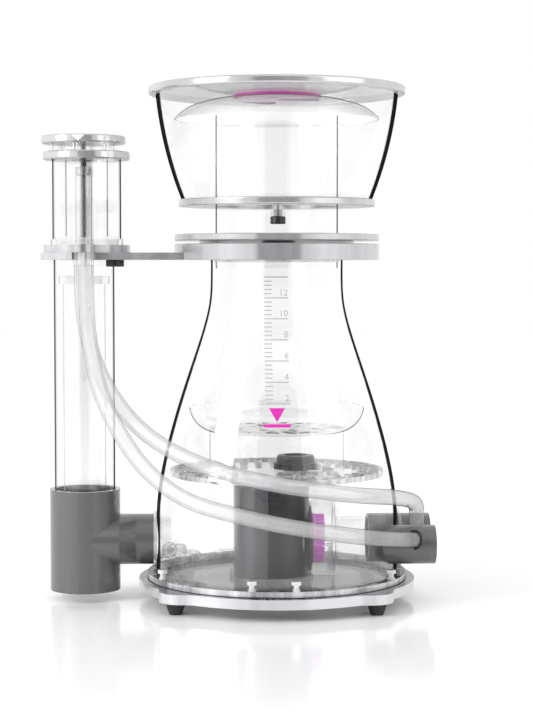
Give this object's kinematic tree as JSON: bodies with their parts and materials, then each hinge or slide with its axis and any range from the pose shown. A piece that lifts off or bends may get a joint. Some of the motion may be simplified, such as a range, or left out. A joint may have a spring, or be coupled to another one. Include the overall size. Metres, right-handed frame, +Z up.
{
  "type": "protein skimmer",
  "caption": "Bottle-shaped clear protein skimmer with a needle-wheel pump inside, a lift-off collection cup, air hoses and an overflow tower with air silencer and level knob.",
  "frame": {"origin": "centre of the base plate's underside, on the axis of the bottle-shaped body", "axes": "+Z up, -X towards the overflow tower, +X towards the pump intake, -Y the front, where the hoses pass"},
  "size_m": [0.3877, 0.2798, 0.5093],
  "materials": {
    "clear_acrylic": "clear polished cast acrylic",
    "plate_acrylic": "clear acrylic plate with satin grey edge",
    "grey_pvc": "satin grey PVC",
    "motor_plastic": "satin dark grey moulding",
    "black_rubber": "matt black rubber",
    "magenta_plastic": "gloss magenta moulding",
    "hose_silicone": "translucent silicone hose",
    "ceramic": "ground ceramic",
    "magnet": "sealed ferrite",
    "core_steel": "potted laminated core",
    "spindle_steel": "stainless threaded rod"
  },
  "bodies": {
    "root": {"air_hose_lower": "hose_silicone", "air_hose_upper": "hose_silicone", "air_manifold": "grey_pvc", "air_ports": "clear_acrylic", "baffle_tube": "clear_acrylic", "base_plate": "plate_acrylic", "body_flange": "clear_acrylic", "body_shell": "clear_acrylic", "bubble_dish": "clear_acrylic", "bubble_plate": "clear_acrylic", "cable_gland": "motor_plastic", "clamp_screw": "motor_plastic", "discharge_duct": "clear_acrylic", "intake_pipe": "grey_pvc", "intake_tube": "clear_acrylic", "motor_face_plate": "motor_plastic", "motor_housing": "motor_plastic", "motor_lead": "black_rubber", "neck_flange": "plate_acrylic", "outlet_tube": "clear_acrylic", "pump_pedestal": "clear_acrylic", "riser_bracket": "plate_acrylic", "riser_tube": "clear_acrylic", "rotor_bearings": "ceramic", "rotor_well": "motor_plastic", "rubber_feet": "black_rubber", "silencer_base": "plate_acrylic", "silencer_foot": "clear_acrylic", "silencer_inner_tube": "clear_acrylic", "silencer_posts": "clear_acrylic", "silencer_top": "plate_acrylic", "silencer_tube": "clear_acrylic", "stator_core": "core_steel", "tee": "grey_pvc", "thumb_screws": "clear_acrylic", "union_nut": "motor_plastic", "volute": "clear_acrylic", "wall_bushings": "black_rubber"},
    "lock_ring": {"lock_ring": "clear_acrylic"},
    "cup": {"cup_flange": "plate_acrylic", "cup_neck": "clear_acrylic", "neck_oring": "black_rubber", "cup_plate": "plate_acrylic", "cup_bowl": "clear_acrylic", "drain_nozzle": "clear_acrylic"},
    "drain_cap": {"drain_cap": "motor_plastic"},
    "lid": {"lid": "plate_acrylic", "deflector_dome": "clear_acrylic", "lid_spacer": "magenta_plastic"},
    "level_pipe": {"standpipe": "clear_acrylic", "standpipe_collar": "plate_acrylic", "lift_tube": "clear_acrylic", "spindle_nut": "plate_acrylic"},
    "knob": {"knob_disc": "plate_acrylic", "knob_hub": "motor_plastic", "knob_spindle": "spindle_steel"},
    "rotor": {"needle_wheel": "magenta_plastic", "rotor_shaft": "ceramic", "rotor_magnet": "magnet"}
  },
  "joints": [
    {"name": "cup_twist", "type": "hinge", "parent": "root", "child": "lock_ring", "pos_m": [0, 0, 0.3428], "axis": [0, 0, 1], "range_deg": [0, 20]},
    {"name": "cup_lift", "type": "slide", "parent": "lock_ring", "child": "cup", "axis": [0, 0, 1], "range_m": [0, 0.12]},
    {"name": "lid_lift", "type": "slide", "parent": "cup", "child": "lid", "axis": [0, 0, 1], "range_m": [0, 0.08]},
    {"name": "drain_cap_pull", "type": "slide", "parent": "cup", "child": "drain_cap", "axis": [0, 0, -1], "range_m": [0, 0.008]},
    {"name": "level_slide", "type": "slide", "parent": "root", "child": "level_pipe", "axis": [0, 0, 1], "range_m": [-0.01, 0.01]},
    {"name": "knob_turn", "type": "hinge", "parent": "root", "child": "knob", "pos_m": [-0.1917, 0, 0.441], "axis": [0, 0, 1], "range_deg": [-120, 120]},
    {"name": "rotor_spin", "type": "hinge", "parent": "root", "child": "rotor", "pos_m": [0.032, 0, 0.0475], "axis": [1, 0, 0], "continuous": true}
  ],
  "couplings": [
    {"joint": "knob_turn", "follows": "level_slide", "rad_per_m": -209.44}
  ]
}
